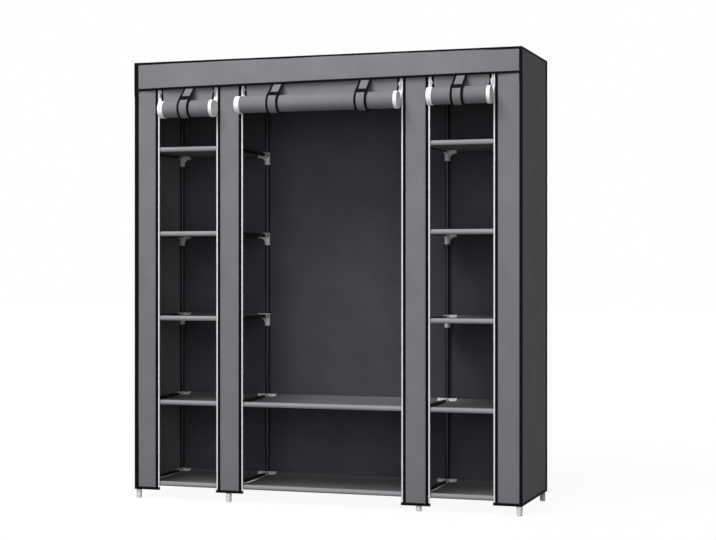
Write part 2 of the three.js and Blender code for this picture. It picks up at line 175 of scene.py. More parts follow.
# %% World
def seen_directly(wire):
    """1 for the rays that show the background itself, in the picture or mirrored."""
    kinds = ("Is Camera Ray", "Is Glossy Ray", "Is Transmission Ray")
    path = wire.tree.nodes.new("ShaderNodeLightPath")
    first, *rest = [Wire(wire.tree, path.outputs[kind]) for kind in kinds]
    for other in rest:
        first = first.maths("MAXIMUM", other)
    return first


def feed(shader, socket, wire):
    wire.tree.links.new(wire.socket, shader.inputs[socket])


fill_light = 0.15
world = bpy.data.worlds.new("studio")
bpy.context.scene.world = world
world.use_nodes = True
sky = Wire(world.node_tree)
white_page, soft_fill = (
    sky.node("ShaderNodeBackground", inputs={"Color": (1, 1, 1, 1), "Strength": strength})
    for strength in (1, fill_light))
both = sky.node("ShaderNodeMixShader", inputs={0: seen_directly(sky), 1: soft_fill, 2: white_page})
feed(world.node_tree.nodes["World Output"], "Surface", both)

# %% Lamps
middle = Vector((0, 0, 0.9))
for name, place, width, watts in (("key", (-0.8, -2.9, 4.8), 3.2, 225),
                                  ("soft_box", (1.0, -6.2, 1.6), 5.0, 190),
                                  ("back_light", (-2.6, 4.6, 2.6), 4.0, 110)):
    data = bpy.data.lights.new(name, "AREA")
    data.shape, data.size, data.energy = "DISK", width, watts
    lamp = linked(name, data)
    lamp.location = place
    lamp.rotation_euler = (middle - Vector(place)).to_track_quat("-Z", "Y").to_euler()

# %% Floor
floor_mesh = bpy.data.meshes.new("floor")
floor_reach = 30
floor_mesh.from_pydata([(x * floor_reach, y * floor_reach, -0.5 * mm)
                        for x, y in ((-1, -1), (1, -1), (1, 1), (-1, 1))], [], [(0, 1, 2, 3)])
floor = linked("floor", floor_mesh)
floor_finish = bpy.data.materials.new("white_floor")
floor_finish.use_nodes = True
floor_mesh.materials.append(floor_finish)
ground = Wire(floor_finish.node_tree)
seen = seen_directly(ground)
paint = seen.shade((0.25,) * 3, (0.9,) * 3)      # darker for the light that it throws back
shaded = ground.node("ShaderNodeBsdfDiffuse", inputs={"Color": paint})
glowing = ground.node("ShaderNodeEmission", inputs={"Strength": 1.03})
spot = ground.node("ShaderNodeTexCoord", output=3)
far_off = ground.node("ShaderNodeVectorMath", {"operation": "LENGTH"}, {0: spot}, output=1)
share = seen * (0.91 + 0.09 * far_off.between(1.4, 4))
page = ground.node("ShaderNodeMixShader", inputs={0: share, 1: shaded, 2: glowing})
feed(floor_finish.node_tree.nodes["Material Output"], "Surface", page)

# %% [markdown]
# ## Finishes
#
# Each finish starts from one Principled shader. Numbers that are the same all over are set on
# its sockets, and patterns feed only colour, roughness and bump. Cloth patterns read the
# piece's own UV map, which this lesson keeps in metres, so that a dot a millimetre apart on
# the real cloth is a millimetre apart on every piece.

# %% One starting point for every finish
def finish(name, roughness, settings=None):
    material = bpy.data.materials.new(name)
    material.use_nodes = True
    shader = material.node_tree.nodes["Principled BSDF"]
    for socket, value in {"Roughness": roughness, **(settings or {})}.items():
        shader.inputs[socket].default_value = value
    return material, shader, Wire(material.node_tree)


def bump(shader, height, depth):
    """depth is how far the surface rises, in metres, where height is 1."""
    feed(shader, "Normal", height.node("ShaderNodeBump", inputs={
        "Strength": 1, "Distance": depth, "Height": height}))


def cloth_ways(wire):
    """The metres across and along a piece of cloth, from its UV map."""
    place = wire.node("ShaderNodeUVMap", {"uv_map": "UVMap"})
    return place, *(wire.node("ShaderNodeSeparateXYZ", inputs={0: place}, output=i) for i in (0, 1))


def noise(wire, place, scale, detail):
    return wire.node("ShaderNodeTexNoise", inputs={
        "Vector": place, "Scale": scale, "Detail": detail})


# %% [markdown]
# The cover is spun-bonded polypropylene: fibres pressed together by a heated roller that
# leaves a field of tiny dots. Two sines at right angles give the dots, a fine noise gives the
# fibres, and a broad one the faint clouds that such thin cloth has when light shines on it.

# %% Non-woven cloth
def nonwoven(name, dark, light, sleeve=None):
    """sleeve is (length, dark, light): the first stretch of a shelf, its front sleeve, is painted
    lighter, a painted highlight.
    """
    material, shader, wire = finish(name, 0.88, {"Sheen Weight": 0.05, "Specular IOR Level": 0.12})
    place, across, along = cloth_ways(wire)
    dot_pitch = 1.3 * mm
    dots, rows = ((way * (math.pi / dot_pitch)).maths("SINE")
                  for way in (across + along, across - along))
    pressed = (dots * rows).between(0.1, 0.8)
    fibres = noise(wire, place, 1500, 3)
    clouds = noise(wire, place, 7, 3)
    grain = noise(wire, place, 240, 2)
    tone = (clouds * 0.45 + grain * 0.3 + fibres * 0.35 - pressed * 0.12).between(0.25, 0.85)
    colour = tone.shade(dark, light)
    # The sleeve's lighter colour is a painted highlight on the front rail.
    if sleeve:
        length, *painted_sleeve_light = sleeve
        colour = along.between(length, length + 5 * mm).shade(tone.shade(*painted_sleeve_light), colour)
    feed(shader, "Base Color", colour)
    feed(shader, "Roughness", 0.8 + fibres * 0.16)
    creases = noise(wire, place, 24, 1)
    bump(shader, pressed * -0.45 + fibres * 0.4 + creases * 3.2, 0.12 * mm)
    return material


cover_cloth = nonwoven("cover_cloth", (0.150, 0.148, 0.160), (0.212, 0.209, 0.225))
# The shelf cloth is painted darker than the cover, as painted shade on the shelf tops, and its
# front sleeve lighter, as a painted highlight.
shelf_cloth = nonwoven("shelf_cloth", (0.120, 0.119, 0.127), (0.160, 0.158, 0.168),
                       (48 * mm, (0.270, 0.268, 0.282), (0.335, 0.332, 0.348)))
# The inner faces are the same cloth: darker on the back and top as painted shade, lighter on the
# sides as painted light.
back_lining_painted_shade = nonwoven("cover_back_inside", (0.052, 0.051, 0.063), (0.078, 0.076, 0.094))
side_lining_painted_light = nonwoven("cover_side_inside", (0.180, 0.179, 0.191), (0.245, 0.242, 0.258))

# %% [markdown]
# The bindings are black woven tape, dull, with a rib across the tape every millimetre.
# The zip tape is white, woven in a herringbone, which a zigzag of the across distance gives.

# %% Black binding and white zip tape
def woven(name, dark, light, rib, slant, roughness=0.85, shine=0.05):
    material, shader, wire = finish(name, roughness, {"Specular IOR Level": shine})
    place, across, along = cloth_ways(wire)
    zigzag = (across / (4 * mm)).maths("PINGPONG", 0.5)
    ribs = ((along + zigzag * slant) * (2 * math.pi / rib)).maths("SINE").between(-1, 1)
    threads = noise(wire, place, 1900, 2)
    wear = noise(wire, place, 33, 2)
    tone = (ribs * 0.4 + threads * 0.35 + wear * 0.35).between(0.2, 0.9)
    feed(shader, "Base Color", tone.shade(dark, light))
    feed(shader, "Roughness", roughness - 0.08 + threads * 0.16)
    bump(shader, ribs * 0.8 + threads * 0.5, 0.1 * mm)
    return material


black_tape = woven("black_binding", (0.0022, 0.0022, 0.0025), (0.0065, 0.0065, 0.007), 1.1 * mm, 0)
white_tape = woven("white_zip_tape", (0.70, 0.70, 0.71), (0.84, 0.84, 0.85), 1.6 * mm, 2.2 * mm,
                   shine=0.2)
# The wound tape is the same white zip tape painted lighter: painted light on the rolls' end discs,
# whose faces turn away from the lamps.
wound_tape_painted_light = woven("wound_zip_tape", (0.80, 0.80, 0.81), (0.93, 0.93, 0.94), 1.6 * mm, 2.2 * mm,
                   shine=0.1)
hook_tape = woven("hook_and_loop", (0.002, 0.002, 0.002), (0.009, 0.009, 0.0095), 0.9 * mm,
                  0.9 * mm, roughness=0.95)

# %% [markdown]
# The hard finishes read Object coordinates, because their pieces have no weave to follow. The
# tube is powder coated, with the soft orange peel of baked powder. The sockets are moulded
# polypropylene with a fine spark-eroded grain. Zip metal is nickel with hair scratches.

# %% Steel, plastic, nylon, metal and thread
def hard(name, dark, light, roughness, spread, peel, depth, settings=None):
    """peel is the size of the surface's grain and depth its height, in metres."""
    material, shader, wire = finish(name, roughness, settings)
    place = wire.node("ShaderNodeTexCoord", output=3)
    grain = noise(wire, place, 1 / peel, 2)
    patches = noise(wire, place, 21, 3)
    feed(shader, "Base Color", (patches * 0.7 + grain * 0.3).between(0.3, 0.7).shade(dark, light))
    feed(shader, "Roughness", roughness - spread / 2 + patches * spread)
    bump(shader, grain, depth)
    return material


powder_coat = hard("powder_coated_steel", (0.006, 0.006, 0.007), (0.012, 0.012, 0.014), 0.42, 0.14,
                   1.4 * mm, 0.03 * mm, {"Specular IOR Level": 0.3, "Coat Weight": 0.06,
                                         "Coat Roughness": 0.3})
socket_plastic = hard("socket_plastic", (0.150, 0.150, 0.154), (0.205, 0.205, 0.210), 0.5, 0.12,
                      0.7 * mm, 0.025 * mm, {"Specular IOR Level": 0.35})
nylon = hard("zip_nylon", (0.60, 0.60, 0.61), (0.72, 0.72, 0.73), 0.42, 0.1, 0.5 * mm, 0.01 * mm,
             {"Specular IOR Level": 0.35})
zip_metal = hard("zip_metal", (0.20, 0.20, 0.205), (0.30, 0.30, 0.31), 0.32, 0.2, 0.9 * mm,
                 0.008 * mm, {"Metallic": 1})
black_thread = hard("black_thread", (0.010, 0.010, 0.011), (0.022, 0.022, 0.024), 0.6, 0.1,
                    0.3 * mm, 0.02 * mm)
grey_thread = hard("grey_thread", (0.13, 0.13, 0.14), (0.2, 0.2, 0.21), 0.6, 0.1,
                   0.3 * mm, 0.02 * mm)
print(len(bpy.data.materials), "finishes")

# %% [markdown]
# ## Surfaces from grids
#
# Nearly everything here is a sheet or a turned form, and both are grids of places. grid()
# joins a grid with quads and lays a UV map on it in metres, measured along the surface, so
# patterns keep their scale. piece() makes one object of one or more grids. It merges doubled
# points, which closes seams and poles, and turns all faces outwards. Solidify then gives cloth
# its thickness.

# %% Grids and pieces
def travelled(places, axis, closed):
    """Distances from the first row or column to each next one, along the surface."""
    steps = np.linalg.norm(np.roll(places, -1, axis) - places, axis=2).mean(1 - axis)
    return np.concatenate([[0], np.cumsum(steps if closed else steps[:-1])])


def line_of(*parts):
    """Places from their coordinates, each one number or an array."""
    return np.stack(np.broadcast_arrays(*parts), -1)


def grid(places, ring=False, loop=False):
    """A surface over places, rows by columns. ring joins last column to first, loop the rows."""
    rows, columns = places.shape[:2]
    row = np.arange(rows if loop else rows - 1)[:, None]
    column = np.arange(columns if ring else columns - 1)[None, :]
    across, along = travelled(places, 1, ring), travelled(places, 0, loop)
    quads, uvs = [], []
    for down, right in ((0, 0), (0, 1), (1, 1), (1, 0)):
        quads.append((row + down) % rows * columns + (column + right) % columns)
        uvs.append(line_of(across[column + right], along[row + down]))
    return (places.reshape(-1, 3), np.stack(quads, -1).reshape(-1, 4),
            np.stack(uvs, 2).reshape(-1, 4, 2))


def build_mesh(name, surfaces):
    starts = np.cumsum([0] + [len(points) for points, _, _ in surfaces])
    points = np.concatenate([points for points, _, _ in surfaces])
    quads = np.concatenate([quads + start for (_, quads, _), start in zip(surfaces, starts)])
    uvs = np.concatenate([uvs for _, _, uvs in surfaces])
    mesh = bpy.data.meshes.new(name)
    mesh.vertices.add(len(points))
    mesh.vertices.foreach_set("co", points.astype(np.float32).ravel())
    mesh.loops.add(quads.size)
    mesh.loops.foreach_set("vertex_index", quads.astype(np.int32).ravel())
    mesh.polygons.add(len(quads))
    mesh.polygons.foreach_set("loop_start", np.arange(0, quads.size, 4, dtype=np.int32))
    mesh.update(calc_edges=True)
    mesh.uv_layers.new(name="UVMap").uv.foreach_set("vector", uvs.astype(np.float32).ravel())
    return mesh


def tidy_mesh(mesh, sharp=35):
    """Closes seams and poles, turns faces outwards and keeps edges over sharp degrees crisp."""
    work = bmesh.new()
    work.from_mesh(mesh)
    bmesh.ops.remove_doubles(work, verts=work.verts, dist=0.002 * mm)
    bmesh.ops.dissolve_degenerate(work, edges=work.edges, dist=0.001 * mm)
    bmesh.ops.recalc_face_normals(work, faces=work.faces)
    for face in work.faces:
        face.smooth = True
    for edge in work.edges:
        edge.smooth = edge.is_manifold and edge.calc_face_angle(0) < math.radians(sharp)
    work.to_mesh(mesh)
    work.free()


def piece(name, surfaces, material, body="root", thickness=0, sharp=35):
    mesh = build_mesh(name, surfaces)
    tidy_mesh(mesh, sharp)
    mesh.materials.append(material)
    made = linked(name, mesh)
    if thickness:
        wall = made.modifiers.new("thickness", "SOLIDIFY")
        wall.thickness, wall.offset = thickness, 0
    if body:
        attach(made, body)
    return made


# %% [markdown]
# ## Stitches
#
# A seam is a line of identical stitches, thousands in all, which is work for Geometry Nodes:
# a seam is drawn as a bare line, resampled every few millimetres, and a stitch is set on each
# point, turned along the line. Each stitch has only twenty faces.
#
# recipe() builds a tree with named inputs that ends in Realize Instances and Set Material, and
# grow() runs one on a mesh and keeps the result as a plain mesh.

# %% Geometry Nodes helpers
def recipe(name, inputs, make):
    tree = bpy.data.node_groups.new(name, "GeometryNodeTree")
    tree.interface.new_socket("Geometry", in_out="INPUT", socket_type="NodeSocketGeometry")
    for label, kind in {**inputs, "Finish": "Material"}.items():
        tree.interface.new_socket(label, in_out="INPUT", socket_type=f"NodeSocket{kind}")
    tree.interface.new_socket("Geometry", in_out="OUTPUT", socket_type="NodeSocketGeometry")
    entry, way_out = tree.nodes.new("NodeGroupInput"), tree.nodes.new("NodeGroupOutput")
    given = {socket.name: Wire(tree, socket) for socket in entry.outputs if socket.name}
    grown = make(given["Geometry"], given)
    plain = grown.node("GeometryNodeRealizeInstances", inputs={"Geometry": grown})
    done = plain.node("GeometryNodeSetMaterial", inputs={
        "Geometry": plain, "Material": given["Finish"]})
    tree.links.new(done.socket, way_out.inputs[0])
    return tree


def grow(name, tree, values, mesh=None):
    """Runs a recipe on a mesh, or on nothing, and returns the result as a plain object."""
    made = linked(name, mesh or bpy.data.meshes.new(name))
    modifier = made.modifiers.new("recipe", "NODES")
    modifier.node_group = tree
    for socket in tree.interface.items_tree:
        if socket.in_out == "INPUT" and socket.name in values:
            modifier[socket.identifier] = values[socket.name]
    ready = made.evaluated_get(bpy.context.evaluated_depsgraph_get())
    grown = bpy.data.meshes.new_from_object(ready)
    made.modifiers.clear()
    made.data = grown
    grown.name = name
    return made


# %% Stitch recipe
def make_stitches(line, given):
    seam = line.node("GeometryNodeMeshToCurve", inputs={"Mesh": line})
    points = line.node("GeometryNodeResampleCurve", {"mode": "LENGTH"}, {
        "Curve": seam, "Length": given["Pitch"]})
    stitch = line.node("GeometryNodeMeshIcoSphere", inputs={"Radius": 0.5, "Subdivisions": 1})
    along = line.node("GeometryNodeInputTangent")
    turned = line.node("FunctionNodeAlignRotationToVector", {"axis": "X"}, {"Vector": along})
    size = line.xyz(given["Length"], given["Thread"], given["Thread"])
    return line.node("GeometryNodeInstanceOnPoints", inputs={
        "Points": points, "Instance": stitch, "Rotation": turned, "Scale": size})


stitch_recipe = recipe("stitches", {"Pitch": "Float", "Length": "Float", "Thread": "Float"},
                       make_stitches)


def stitches(name, seams, thread=black_thread):
    """seams is a list of lines, each an array of places."""
    starts = np.cumsum([0] + [len(seam) for seam in seams])
    edges = [(i, i + 1) for start, seam in zip(starts, seams)
             for i in range(start, start + len(seam) - 1)]
    line = bpy.data.meshes.new(name)
    line.from_pydata(np.concatenate(seams).tolist(), edges, [])
    made = grow(name, stitch_recipe, {"Pitch": 4.2 * mm, "Length": 3.2 * mm,
                                      "Thread": 0.55 * mm, "Finish": thread}, line)
    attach(made, "root")
    return made


# %% [markdown]
# ## Places
#
# All places come from the frame's own nodes, so a new pack moves everything with it.

# %% Places read from the frame
def low(node):
    return np.array(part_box(node)[0])


def high(node):
    return np.array(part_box(node)[1])


half_width = high("cover_right_side")[0]
front = low("cover_pillar_left_outer")[1]
back = high("cover_back")[1]
hem = low("cover_pillar_left_outer")[2]
panel_top = high("cover_pillar_left_outer")[2]
cover_top = high("cover_top")[2]
valance_front = low("cover_top")[1]
cad_cloth = 1.2 * mm
cloth = 0.8 * mm
tape = 0.5 * mm
tape_lift = (cloth + tape) / 2
X, Y, Z = np.eye(3)
print(f"cover {2 * half_width:.3f} wide, {back - front:.3f} deep, {cover_top:.3f} high")

# %% [markdown]
# ## Cover panels
#
# Each panel is cut flat and sewn to its neighbours, so its edges are held straight, and the
# middle is a little loose over the frame. A Panel knows where every point of that cloth is.
# Long faint folds run down it, from a few seeded sines, and fade out towards the seams. The
# bindings and stitches ask the same Panel for their places, so they lie on the cloth exactly.

# %% A panel of the cover
class Panel:
    """Cloth from a corner, across and up, facing out. Distances on it are in metres."""

    def __init__(self, corner, across, up, out, size, bulge, folds, seed, foot=None, lean=None):
        self.corner, self.across, self.up, self.out = map(np.array, (corner, across, up, out))
        self.size, self.bulge, self.folds = size, bulge, folds
        self.foot, self.lean = foot or (lambda u: 0 * u), lean or (lambda u, v: 0 * u)
        draw = np.random.default_rng(seed)
        self.waves = [(draw.uniform(4, 22), draw.uniform(-1.3, 1.3), draw.uniform(0, 7))
                      for _ in range(6)]

    def height(self, u, v):
        """How far the cloth stands out of its flat cut."""
        s, t = (np.clip(value / size, 0, 1) for value, size in zip((u, v), self.size))
        held = (1 - (2 * s - 1) ** 4) * (1 - (2 * t - 1) ** 8)
        wave = sum(np.sin(pitch * u + lean * v + start) for pitch, lean, start in self.waves)
        return held * (self.bulge + self.folds * (1 + wave / len(self.waves)))

    def at(self, u, v, lift=0):
        u, v = np.broadcast_arrays(np.asarray(u, float), np.asarray(v, float))
        foot = self.foot(u)
        rise = foot + v * (1 - foot / self.size[1])
        out = self.height(u, v) + self.lean(u, v) + lift
        return (self.corner + u[..., None] * self.across + rise[..., None] * self.up
                + out[..., None] * self.out)

    def cloth(self, steps):
        u = np.linspace(0, self.size[0], steps[0] + 1)[None, :]
        v = np.linspace(0, self.size[1], steps[1] + 1)[:, None]
        return grid(self.at(u, v))

    def edge(self, side, inward, spare):
        """A line on the panel, that far inside one of its four sides."""
        width, tall = self.size
        reach = {"left": tall, "right": tall, "bottom": width, "top": width}[side]
        run = np.linspace(-spare[0], reach + spare[1], max(2, int(reach / 0.03)))
        return {"left": (inward, run), "right": (width - inward, run),
                "bottom": (run, inward), "top": (run, tall - inward)}[side]


def tape_fold(width, *crown):
    """A tape's section where it folds over an edge: (distance inside the edge, height)."""
    return [(width, tape_lift), *crown, (0.6 * mm, tape_lift), (-0.5 * mm, 0.4 * tape_lift),
            (-0.5 * mm, -0.4 * tape_lift), (0.6 * mm, -tape_lift), (width, -tape_lift)]


def edge_binding(panel, side, width, spare):
    """A tape folded over the panel's edge, as one grid. spare is its overhang at each end."""
    fold = tape_fold(width, (0.5 * width, tape_lift + 0.1 * mm))
    lines = [panel.at(*panel.edge(side, inward, spare), rise) for inward, rise in fold]
    return grid(np.stack(lines, 1))


def edge_seam(panel, side, inward, spare):
    """The line of stitches on a binding."""
    return panel.at(*panel.edge(side, inward, spare), cloth / 2 + tape + 0.15 * mm)


# %% [markdown]
# Four pillars stand in front, their inner edges bound in black where the zips are sewn on.
# The outer ones turn the corner instead. Below, the hem's binding runs a little past each
# bound edge, over the ends of the zip tapes. The pillar right of the middle hangs a little
# lower than the others, as in the photograph.

# %% Pillars
binding_width = 10.5 * mm
hem_width = 10 * mm
hem_spare = 8 * mm
stitch_inset = 2 * mm
no_spare = (0, 0)
cover_pieces = []


def dress(name, panel, bound, steps=(24, 60), inner=None):
    """Cloth, bindings and stitches for one panel. bound is {side: (width, spare)}."""
    made = piece(name + "_cloth", [panel.cloth(steps)], cover_cloth, thickness=cloth)
    if inner:
        made.data.materials.append(inner)
        made.modifiers["thickness"].material_offset = 1
    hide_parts(name)
    if bound:
        folds = [edge_binding(panel, side, width, spare) for side, (width, spare) in bound.items()]
        piece(name + "_binding", folds, black_tape, thickness=tape, sharp=60)
        seams = [edge_seam(panel, side, width - stitch_inset, spare)
                 for side, (width, spare) in bound.items()]
        stitches(name + "_stitches", seams)
    cover_pieces.append(name)


pillar_edges = {"left_outer": ["right"], "left_inner": ["left", "right"],
                "right_inner": ["left", "right"], "right_outer": ["left"]}
pillar_hem = {side: hem - (14 * mm if side == "right_inner" else 0) for side in pillar_edges}
for seed, (side, zipped) in enumerate(pillar_edges.items()):
    node = f"cover_pillar_{side}"
    x0, x1 = low(node)[0], high(node)[0]
    foot_z = pillar_hem[side]
    panel = Panel((x0, front + cad_cloth / 2, foot_z), X, Z, -Y, (x1 - x0, panel_top - foot_z),
                  bulge=0.6 * mm, folds=0.8 * mm, seed=seed + 11)
    spare = tuple(hem_spare if edge in zipped else 0 for edge in ("left", "right"))
    dress(node, panel, {**{edge: (binding_width, no_spare) for edge in zipped},
                        "bottom": (hem_width, spare)})

# %% [markdown]
# The sides and the back are single large cloths, and the top closes them. They hang a little
# looser than the pillars. Their inner face is painted: darker on the back and the top, as
# painted shade for the inside of the wardrobe, and lighter on the sides, as painted light.

# %% Sides, back and top
side_span = high("cover_left_side")[1] - low("cover_left_side")[1]
side_height = panel_top - hem
for name, x, out in (("cover_left_side", -half_width + cad_cloth / 2, -X),
                     ("cover_right_side", half_width - cad_cloth / 2, X)):
    panel = Panel((x, low(name)[1], hem), Y, Z, out, (side_span, side_height), bulge=0.5 * mm,
                  folds=1.8 * mm, seed=31 if x < 0 else 37)
    dress(name, panel, {"bottom": (hem_width, no_spare)}, (36, 60), side_lining_painted_light)
x = high("cover_back")[0]
panel = Panel((-x, back - cad_cloth / 2, hem), X, Z, Y, (2 * x, side_height), bulge=0.5 * mm,
              folds=1.8 * mm, seed=41)
dress("cover_back", panel, {"bottom": (hem_width, no_spare)}, (90, 60), back_lining_painted_shade)
top_depth = high("cover_top")[1] - low("cover_top")[1]
panel = Panel((-half_width, low("cover_top")[1], cover_top - cad_cloth / 2), X, Y, Z,
              (2 * half_width, top_depth), bulge=0.3 * mm, folds=1.2 * mm, seed=43)
dress("cover_top", panel, {}, (90, 30), back_lining_painted_shade)

# %% [markdown]
# The valance hangs over the doors' top seam. In the photograph its hem rises slightly towards
# the right, so the panel's foot follows a line. The straps behind it push the hem forward
# everywhere but near the two sewn corners, so the panel leans as well.

# %% Valance
valance_drop = (107 * mm, 92 * mm)
valance_slope = 0.10     # forward for its drop
valance_corner = 200 * mm
valance_size = (2 * half_width, panel_top - (cover_top - valance_drop[0]))


def smooth_step(x):
    return x * x * (3 - 2 * x)


def valance_foot(u):
    return (valance_drop[0] - valance_drop[1]) * u / valance_size[0]


def valance_lean(u, v):
    free = np.clip(np.minimum(u, valance_size[0] - u) / valance_corner, 0, 1)
    below_seam = (valance_size[1] - valance_foot(u)) * (1 - v / valance_size[1])
    return valance_slope * below_seam * smooth_step(free)


valance = Panel((-half_width, valance_front + cad_cloth / 2, cover_top - valance_drop[0]),
                X, Z, -Y, valance_size, bulge=0.2 * mm, folds=0.9 * mm, seed=53,
                foot=valance_foot, lean=valance_lean)
dress("valance", valance, {"bottom": (8.5 * mm, no_spare)}, (90, 12))


def valance_hem(x):
    """The height of the valance's hem at a place along X."""
    return cover_top - np.interp(x, (-half_width, half_width), valance_drop)


# %% [markdown]
# The corners are bound by a wider tape that folds from one panel to the next. A fold is a
# short profile, set at every place of the corner's line. In front it lies flat over the
# pillar and the valance. At the back the seam allowance stands out as a fin, which shows in
# the photograph as a black line outside the side panel.

# %% Corner bindings
def corner_binding(line, profile):
    """line is the corner's places, profile the offsets of the tape from each, in metres."""
    return grid(line[:, None, :] + np.array(profile, float)[None, :, :])


def corner_profile(first, second, wide, narrow):
    """A tape flat on two faces: it lies inward of the corner along each, outside the other."""
    lift = 0.5 * mm
    return [-wide * first + lift * second, -0.5 * wide * first + (lift + 0.15 * mm) * second,
            -0.4 * mm * first + lift * second, 0.7 * lift * (first + second),
            lift * first - 0.4 * mm * second, lift * first - narrow * second]


heights = np.linspace(hem - 0.5 * mm, cover_top, 60)
over_valance = np.clip((heights - (valance_hem(0) - 22 * mm)) / (12 * mm), 0, 1)
corner_y = front + (valance_front - front) * smooth_step(over_valance)
corner_widths = {-1: 17 * mm, 1: 10 * mm}
fin = 2.2 * mm              # how far the seam allowance stands out
seam_lift = 0.85 * mm       # stitches off the corner's line
binding_sets = {"cover_corner_binding": [], "cover_top_binding": []}
corner_seams, top_seams = [], []
for sign in (-1, 1):
    outward, corner_width = sign * X, corner_widths[sign]
    line = line_of(sign * half_width, corner_y, heights)
    profile = corner_profile(outward, -Y, corner_width, 6 * mm)
    binding_sets["cover_corner_binding"].append(corner_binding(line, profile))
    corner_seams.append(line - (corner_width - stitch_inset) * outward - seam_lift * Y)
    line = line_of(sign * half_width, back, heights)
    profile = [0.5 * mm * outward - 16 * mm * Y, 0.5 * mm * outward - 1.2 * mm * Y,
               (fin + 0.6 * mm) * outward + (fin - 0.6 * mm) * Y, (fin + 0.7 * mm) * (outward + Y),
               (fin - 0.6 * mm) * outward + (fin + 0.6 * mm) * Y,
               -1.2 * mm * outward + 0.5 * mm * Y, -7 * mm * outward + 0.5 * mm * Y]
    binding_sets["cover_corner_binding"].append(corner_binding(line, profile))
    corner_seams.append(line + seam_lift * outward - 13.5 * mm * Y)
    line = line_of(sign * half_width, np.linspace(valance_front, back, 20), cover_top)
    profile = corner_profile(outward, Z, 7 * mm, 7 * mm)
    binding_sets["cover_top_binding"].append(corner_binding(line, profile))
    top_seams.append(line + seam_lift * outward - 5 * mm * Z)
width_run = np.linspace(-half_width, half_width, 50)
for y, outward in ((valance_front, -Y), (back, Y)):
    line = line_of(width_run, y, cover_top)
    profile = corner_profile(outward, Z, 7 * mm, 8.5 * mm)
    binding_sets["cover_top_binding"].append(corner_binding(line, profile))
    top_seams.append(line + seam_lift * outward - 6.5 * mm * Z)
for name, folds in binding_sets.items():
    piece(name, folds, black_tape, thickness=tape, sharp=60)
stitches("cover_corner_stitches", corner_seams)
stitches("cover_top_stitches", top_seams)
print(len(cover_pieces), "cover panels with their bindings")

# %% [markdown]
# ## Turned forms
#
# Tubes, sockets and feet are turned: a profile of distances and radii, spun round an axis. The
# ends of a solid form close in a point on the axis. A tube's profile closes on itself, so that
# the wall has its real thickness and the ends are open.

# %% Turned forms
def turned(profile, start, axis, loop=False):
    """profile lists (distance along the axis, radius)."""
    axis = np.array(axis, float)
    side = np.array((axis[1], axis[2], axis[0]))
    other = np.cross(axis, side)
    angle = np.linspace(0, 2 * math.pi, 24, endpoint=False)
    around = np.cos(angle)[:, None] * side + np.sin(angle)[:, None] * other
    distance, radius = np.array(profile, float).T
    places = np.array(start) + distance[:, None, None] * axis + radius[:, None, None] * around
    return grid(places, ring=True, loop=loop)


def tube(start, end, radius, wall=None):
    """A bar with rounded rims. It is solid, or hollow with a wall."""
    rim, inside = (0.2 * mm, radius - wall) if wall else (0.4 * mm, 0)
    start, end = np.array(start, float), np.array(end, float)
    length = np.linalg.norm(end - start)
    return turned([(0, inside), (0, radius - rim), (rim, radius), (length - rim, radius),
                   (length, radius - rim), (length, inside)],
                  start, (end - start) / length, loop=bool(wall))


# %% [markdown]
# ## Frame
#
# A ladder is two uprights and six cross tubes, pushed into moulded sockets. The same socket
# sits at every level, so one is built and Geometry Nodes sets it on a line of points up the
# post, where the lowest gap is a little shorter. Inner ladders have extra arms towards the
# middle at three levels. The lowest barrels end in feet with shallow ribs.

# %% Frame sizes
tube_radius = 8 * mm
tube_wall = 0.8 * mm
bore = 8.3 * mm
socket_radius = 10.4 * mm
arm_length = 38 * mm
seat_depth = 12 * mm
collar = 10.2 * mm
lip = 0.3 * mm
seat = 4 * mm            # a tube's end inside its socket's mouth
foot_height = 58 * mm
foot_radius = 9.8 * mm
first_gap = 308 * mm
level_pitch = 318.5 * mm
level_count = 6
levels = [foot_height] + [foot_height + first_gap + i * level_pitch
                          for i in range(level_count - 1)]
front_y = low("rail_top_left_front")[1] + tube_radius
back_y = low("rail_top_left_back")[1] + tube_radius
rod_y = low("hanging_rod")[1] + tube_radius
outer_x = half_width - cad_cloth - 0.4 * mm - socket_radius
inner_x = 369 * mm

# %% A socket's parts
def arm(start, axis):
    """A bored arm with a raised lip at its mouth."""
    end = arm_length
    return turned([(0, 0), (0, socket_radius), (end - 7 * mm, socket_radius - 0.3 * mm),
                   (end - 6 * mm, socket_radius + lip), (end - 0.8 * mm, socket_radius + lip),
                   (end, socket_radius), (end, bore + 0.3 * mm), (end - 1 * mm, bore),
                   (seat_depth, bore), (seat_depth, 0)], start, axis)


def gusset(place, axis):
    """A thin web in the angle between an arm and the barrel below it, with a hollow edge."""
    tip = arm_length - 4 * mm
    half = 1.5 * mm
    turn = np.linspace(0, 1, 9)[:, None]
    foot, corner, mouth = np.array([(socket_radius, -tip), (socket_radius, -socket_radius),
                                    (tip, -socket_radius)])
    edge = (1 - turn) ** 2 * mouth + 2 * turn * (1 - turn) * corner + turn ** 2 * foot
    inner = np.concatenate([np.linspace((tip, 0), (0, 0), 5)[:-1],
                            np.linspace((0, 0), (0, -tip), 5)])
    to_side = np.cross(axis, Z) * half

    def lay(points):
        return np.array(place) + points[:, :1] * np.array(axis) + points[:, 1:] * Z

    rows = np.stack([lay(inner) + to_side, lay(edge) + to_side,
                     lay(edge) - to_side, lay(inner) - to_side], 1)
    caps = [np.repeat(rows[i].mean(0)[None, None], 4, 1) for i in (0, -1)]
    return grid(np.concatenate([caps[0], rows, caps[1]]), ring=True)


def barrel(place):
    """The upright part of a socket, with a lip at each mouth."""
    end, waist = -arm_length, socket_radius - 0.2 * mm
    return turned([(end, 0), (end, socket_radius), (end + 0.6 * mm, socket_radius + lip),
                   (end + 6 * mm, socket_radius + lip), (end + 7 * mm, waist),
                   (collar - 5 * mm, waist), (collar - 4.4 * mm, socket_radius + lip),
                   (collar - 0.8 * mm, socket_radius + lip), (collar, socket_radius - 0.6 * mm),
                   (collar, 0)], place, Z)


